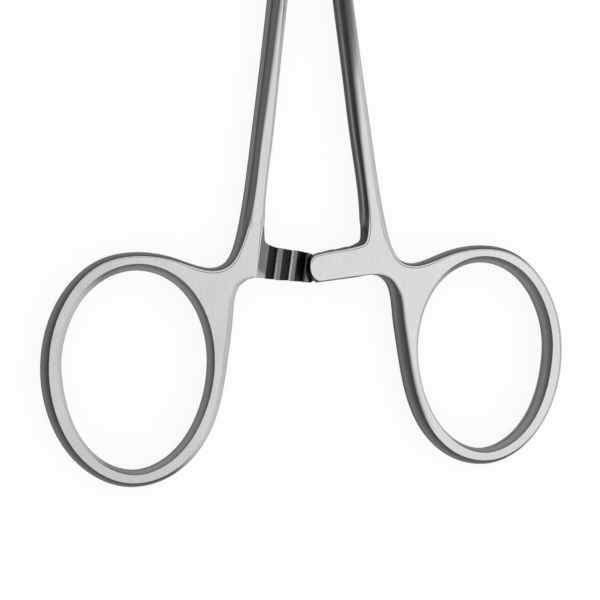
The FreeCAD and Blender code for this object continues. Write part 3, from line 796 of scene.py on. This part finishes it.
@dataclass(frozen=True)
class WallMarks:
    """Paints light on the walls that face the right, and shade on the walls of the ratchet arm.

    Attributes:
        lit: Parts to the right in the wall's direction between which its painted light sets in.
        arm_fade: Distances from the middle plane over which the arm's painted shade fades, in
            millimetres.
        arm_start: How far under the arm's lower end its painted shade starts, in millimetres.
        arm_end: How far under the arm's upper end its painted shade ends, in millimetres.
    """

    lit: Pair = (0.45, 0.85)
    arm_fade: Pair = (7.6, 9.4)
    arm_start: float = 1.0
    arm_end: float = 0.4

    def write(self, mesh: bpy.types.Mesh, normal: np.ndarray, walls: np.ndarray) -> None:
        """Writes both marks.

        Each vertex takes the mean of its walls' normals, weighted by their areas. Its painted light
        is a smooth step of the part to the right in the mean's plan direction.

        Args:
            mesh: The mesh.
            normal: The faces' normals.
            walls: Which faces are walls.
        """
        area = read(mesh.polygons, "area")
        total = read(mesh.polygons, "loop_total", kind=np.int64)
        corner = read(mesh.loops, "vertex_index", kind=np.int64)
        mean = np.zeros((len(mesh.vertices), 3))
        np.add.at(mean, corner, np.repeat(normal * (area * walls)[:, None], total, axis=0))
        length = np.linalg.norm(mean[:, :2], axis=1)
        right = mean[:, 0] / np.where(length > 0.0, length, 1.0)
        place = read(mesh.vertices, "co", 3) / MM
        spread, along = np.abs(place[:, 0]), place[:, 1]
        arm = ((1.0 - ease(spread, *self.arm_fade)) * (along < LEVER.arm_high - self.arm_end)
               * (along > LEVER.arm_low - self.arm_start))
        # Painted light on walls that face the right, painted shade on the ratchet arm's walls.
        mark_vertices(mesh, "lit", ease(right, *self.lit) * (1.0 - arm))
        mark_vertices(mesh, "arm_painted_shade", arm)


@dataclass
class Half:
    """One half of the needle holder, dressed over its solid.

    Attributes:
        node: The solid's node.
        body: The body that it rides on.
        toothed_side: 1 where the teeth face up, -1 where they face down.
        finishes: The materials in slot order.
        breaks: How wide and deep the broken edge is at each place.
        limits: How the faces are told apart.
        wall_marks: How the walls' painted light and shade are laid.
        edge_width: Width of the broken edge round the flats where it is widest, in millimetres.
        line_width: Width of the painted dark line where the broken edge meets the flat, in
            millimetres.
        edge_drop: How far the broken edge falls where it is widest, in millimetres.
        piece: The dressed piece.
    """

    node: str
    body: str
    toothed_side: int
    finishes: list[bpy.types.Material]
    breaks: Breaks = Breaks()
    limits: Limits = Limits()
    wall_marks: WallMarks = WallMarks()
    edge_width: float = 0.20
    line_width: float = 0.11
    edge_drop: float = 0.09
    piece: bpy.types.Object = field(init=False)

    def build(self) -> bpy.types.Object:
        """Copies the solid's mesh, breaks its edges, lays out the finishes and lets it ride.

        Returns:
            The dressed piece.
        """
        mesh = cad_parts[self.node].data.copy()
        mesh.name = self.node + "_dressed"
        if "custom_normal" in mesh.attributes:
            mesh.attributes.remove(mesh.attributes["custom_normal"])
        self.piece = bpy.data.objects.new(self.node + "_dressed", mesh)
        bpy.context.scene.collection.objects.link(self.piece)
        self._shape_edges(mesh, self._clean(mesh))
        mesh.materials.clear()
        for material in self.finishes:
            mesh.materials.append(material)
        self._lay_out(mesh)
        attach(self.piece, self.body)
        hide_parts(self.node)
        return self.piece

    def _clean(self, mesh: bpy.types.Mesh) -> np.ndarray:
        """Merges the loose triangles, joins those of the flats and steps their outlines in twice.

        Args:
            mesh: The copied mesh.

        Returns:
            For each corner of a flat's outline the vertices on the outline, at the broken edge's
            inner border and at the line's inner border, one row each.
        """
        limits, shape = self.limits, bmesh.new()
        shape.from_mesh(mesh)
        bmesh.ops.remove_doubles(shape, verts=shape.verts, dist=limits.merge)
        bmesh.ops.dissolve_limit(shape, angle_limit=math.radians(limits.join), verts=shape.verts,
                                 edges=shape.edges)
        mark = shape.faces.layers.int.new("broken")
        heights = (LEVER.middle - LEVER.half_lever, LEVER.middle + LEVER.half_lever)
        flats = [face for face in shape.faces if abs(face.normal.z) > limits.upright
                 and min(abs(face.calc_center_median().z / MM - height)
                         for height in heights) < limits.level]
        bands = [bmesh.ops.inset_region(shape, faces=flats, use_boundary=True, use_even_offset=True,
                                        thickness=width * MM)["faces"]
                 for width in (self.edge_width, self.line_width)]
        for number, band in enumerate(bands, 1):
            for face in band:
                face[mark] = number
        sharp = math.radians(limits.crease)
        for edge in shape.edges:
            marks = {face[mark] for face in edge.link_faces}
            edge.smooth = (len(edge.link_faces) == 2 and len(marks) == 1
                           and edge.calc_face_angle(0.0) < sharp)
        for face in shape.faces:
            face.smooth = True
        shape.verts.index_update()
        first, second = (self._cross_edges(band, bands[1], flats) for band in bands)
        rows = [(outline, border, second[border]) for outline, border in first.items()]
        shape.to_mesh(mesh)
        shape.free()
        return np.array(rows, dtype=np.int64)

    @staticmethod
    def _cross_edges(band: list[bmesh.types.BMFace], line: list[bmesh.types.BMFace],
                     flats: list[bmesh.types.BMFace]) -> dict[int, int]:
        """Reads which vertex lies straight inside which across a band.

        Args:
            band: The band's faces.
            line: The faces of the inner band.
            flats: The faces of the flats inside both bands.

        Returns:
            The inner vertex's number for each outer vertex's number.
        """
        between, innermost, inside = set(band), set(line), set(flats)

        def depth(vert: bmesh.types.BMVert) -> int:
            """2 at the flats, 1 at the inner band, 0 outside."""
            faces = set(vert.link_faces)
            return 2 if faces & inside else int(bool(faces & innermost))

        pairs = {}
        for edge in {edge for face in band for edge in face.edges}:
            if all(face in between for face in edge.link_faces):
                outer, border = sorted(edge.verts, key=depth)
                pairs[outer.index] = border.index
        return pairs

    def _shape_edges(self, mesh: bpy.types.Mesh, rows: np.ndarray) -> None:
        """Gives the broken edge its own width and drop at each place.

        Each vertex of an inner border lies at the outline's vertex plus the share times the way
        between them, and the outline's vertex sinks towards mid thickness by the share times the
        drop.

        Args:
            mesh: The stepped mesh.
            rows: The vertices of outline, broken edge and line, one row for each corner.
        """
        place = read(mesh.vertices, "co", 3)
        outline = place[rows[:, 0]]
        share = self.breaks.share(outline[:, :2] / MM)
        for column in (1, 2):
            place[rows[:, column]] = outline + share[:, None] * (place[rows[:, column]] - outline)
        side = np.sign(outline[:, 2] / MM - LEVER.middle)
        place[rows[:, 0], 2] -= side * share * self.edge_drop * MM
        mesh.vertices.foreach_set("co", place.ravel())
        values = np.zeros(len(place))
        values[rows] = share[:, None]
        mark_vertices(mesh, "edge_share", values)
        mesh.update()

    def _lay_out(self, mesh: bpy.types.Mesh) -> None:
        """Gives each face its finish from the way it faces and where it lies."""
        limits, order = self.limits, list(Finish)
        normal = read(mesh.polygons, "normal", 3)
        centre = read(mesh.polygons, "center", 3) / MM
        broken = read(mesh.attributes["broken"].data, "value", kind=np.int32)
        level = np.abs(centre[:, 2] - LEVER.middle)
        facing, tilt = normal[:, 2] * self.toothed_side, normal[:, 0] * self.toothed_side
        in_arm = ((np.abs(centre[:, 0]) < LEVER.arm_reach) & (centre[:, 1] > LEVER.arm_low)
                  & (centre[:, 1] < LEVER.arm_high)
                  & (level < LEVER.arm_face + LEVER.tooth_depth + limits.tooth_room))
        slope = in_arm & (np.abs(normal[:, 1]) < limits.lengthwise) & (facing <= limits.facing)
        # Past this place the teeth's steep faces get the walls' grey: painted shade of the other
        # arm.
        in_shade = centre[:, 0] * self.toothed_side > LEVER.shaded_teeth
        slot = np.full(len(mesh.polygons), order.index(Finish.SIDE), dtype=np.int32)
        # The teeth's faces get their painted light and shade by the way they face.
        # Where two apply, the later one counts.
        for faces, finish in ((np.abs(normal[:, 2]) > limits.facing, Finish.FLAT),
                              (in_arm & (facing > limits.facing), Finish.LAND),
                              (slope & (facing > limits.ramp) & (tilt > 0.0), Finish.RAMP),
                              (slope & (tilt < 0.0), Finish.STEEP),
                              (slope & (tilt < 0.0) & in_shade, Finish.SIDE),
                              (broken == 1, Finish.EDGE),
                              (broken == 2, Finish.LINE)):
            slot[faces] = order.index(finish)
        mesh.polygons.foreach_set("material_index", slot)
        mesh.attributes.remove(mesh.attributes["broken"])
        self.wall_marks.write(mesh, normal, slot == order.index(Finish.SIDE))
        mesh.update()


@dataclass
class Rivet:
    """The pivot pin, flush with both faces of the box lock.

    Attributes:
        material: Its finish.
        node: The solid's node.
    """

    material: bpy.types.Material
    node: str = "pivot_pin"

    def dress(self) -> bpy.types.Object:
        """Gives the pin its finish and returns its object."""
        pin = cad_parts[self.node]
        pin.data.materials.clear()
        pin.data.materials.append(self.material)
        return pin


# The studio


@dataclass(frozen=True)
class Camera:
    """The camera that took the picture: place and turns about the instrument's own axes.

    Attributes:
        focal: Focal length in picture widths.
        pitch: Turn about X, in radians.
        yaw: Turn about Y, in radians.
        roll: Turn about the line of sight, in radians.
        shift: Place of the target across and up the picture, in millimetres.
        distance: Distance of the target, in millimetres.
        target: The point that the turns are about, in millimetres.
        sensor: Width of the sensor, in millimetres.
        clip: The nearest and the farthest distance that is shown, in metres.
    """

    focal: float = 2.403198
    pitch: float = 0.06408684
    yaw: float = 0.28876445
    roll: float = 0.01129334
    shift: Pair = (1.699175, 66.952339)
    distance: float = 200.337988
    target: tuple[float, float, float] = (0.0, -10.0, 4.3)
    sensor: float = 36.0
    clip: Pair = (0.01, 10.0)

    def build(self) -> bpy.types.Object:
        """Adds the camera and makes it the scene's."""
        data = bpy.data.cameras.new("picture_camera")
        data.sensor_width = self.sensor
        data.lens = self.focal * self.sensor
        data.clip_start, data.clip_end = self.clip
        turn = (Matrix.Rotation(self.roll, 3, "Z") @ Matrix.Rotation(self.pitch, 3, "X")
                @ Matrix.Rotation(self.yaw, 3, "Y")).transposed()
        place = Vector(self.target) - turn @ Vector((*self.shift, -self.distance))
        camera = bpy.data.objects.new("picture_camera", data)
        camera.matrix_world = Matrix.Translation(place * MM) @ turn.to_4x4()
        bpy.context.scene.collection.objects.link(camera)
        bpy.context.scene.camera = camera
        return camera


@dataclass(frozen=True)
class Studio:
    """A pale floor under a large soft box.

    Attributes:
        floor_half: Half the floor's side, in metres.
        floor_gap: How far the floor lies under the instrument, in millimetres.
        floor_tone: The floor's grey, linear.
        shown_share: Share of plain white in the floor where the camera or a reflection shows it.
        dome: Strength of the light from all round.
        box_size: Side of the soft box, in metres.
        box_power: The soft box's power, in watts.
        box_place: Where the soft box hangs, in metres.
        box_aim: The point that it faces, in metres.
    """

    floor_half: float = 3.0
    floor_gap: float = 0.05
    floor_tone: float = 0.86
    shown_share: float = 0.9
    dome: float = 0.84
    box_size: float = 0.8
    box_power: float = 1.2
    box_place: tuple[float, float, float] = (0.52, -0.1, 0.9)
    box_aim: tuple[float, float, float] = (0.0, -0.07, 0.0)

    def build(self) -> None:
        """Adds the floor, the world and the soft box."""
        self._floor()
        self._world()
        data = bpy.data.lights.new("soft_box", "AREA")
        data.shape = "SQUARE"
        data.size = self.box_size
        data.energy = self.box_power
        lamp = bpy.data.objects.new("soft_box", data)
        lamp.location = self.box_place
        aim = Vector(self.box_aim) - Vector(self.box_place)
        lamp.rotation_euler = aim.to_track_quat("-Z", "Y").to_euler()
        bpy.context.scene.collection.objects.link(lamp)

    def _floor(self) -> None:
        """A square floor just under the instrument."""
        half = self.floor_half
        low = -self.floor_gap * MM
        corners = [(-half, -half, low), (half, -half, low), (half, half, low), (-half, half, low)]
        mesh = bpy.data.meshes.new("floor")
        mesh.from_pydata(corners, [], [(0, 1, 2, 3)])
        material = bpy.data.materials.new("pale_floor")
        material.use_nodes = True
        nodes = Nodes(material.node_tree)
        path = nodes.add("LightPath")
        shown = nodes.math("MAXIMUM", path.outputs["Is Camera Ray"], path.outputs["Is Glossy Ray"])
        shown = nodes.math("MAXIMUM", shown, path.outputs["Is Transmission Ray"])
        plain = nodes.add("BsdfDiffuse")
        nodes.link(nodes.mix(shown, self.floor_tone, 1.0), plain.inputs["Color"])
        white = nodes.add("Emission")
        white.inputs["Strength"].default_value = 1.0
        both = nodes.add("MixShader")
        nodes.link(nodes.math("MULTIPLY", shown, self.shown_share), both.inputs[0])
        nodes.link(plain.outputs[0], both.inputs[1])
        nodes.link(white.outputs[0], both.inputs[2])
        output = nodes.add("OutputMaterial")
        nodes.link(both.outputs[0], output.inputs["Surface"])
        mesh.materials.append(material)
        floor = bpy.data.objects.new("floor", mesh)
        bpy.context.scene.collection.objects.link(floor)

    def _world(self) -> None:
        """An even white dome."""
        world = bpy.data.worlds.new("studio")
        world.use_nodes = True
        nodes = Nodes(world.node_tree)
        sky = nodes.add("Background")
        sky.inputs["Color"].default_value = (1.0, 1.0, 1.0, 1.0)
        sky.inputs["Strength"].default_value = self.dome
        output = nodes.add("OutputWorld")
        nodes.link(sky.outputs[0], output.inputs["Surface"])
        bpy.context.scene.world = world


def main() -> None:
    """Builds and dresses each piece, then the studio."""
    logging.basicConfig(level=logging.INFO, format="%(name)s: %(message)s")
    bpy.context.scene.view_settings.view_transform = "Standard"
    groups = {"brush": BrushMarks().group(), "shades": Shades().group(),
              "root": RootCorner().group(), "seam": RivetSeam().group()}
    materials = [finish.value.material(groups) for finish in Finish]
    halves = (Half("female_half", "female", 1, materials),
              Half("male_half", "male", -1, materials, Breaks(root_reach=0.6)))
    for half in halves:
        piece = half.build()
        LOG.info("%s: %d faces", piece.name, len(piece.data.polygons))
    pin = Rivet(RIVET_STEEL.material(groups)).dress()
    LOG.info("%s dressed", pin.name)
    Camera().build()
    Studio().build()


if __name__ == "__main__":
    main()
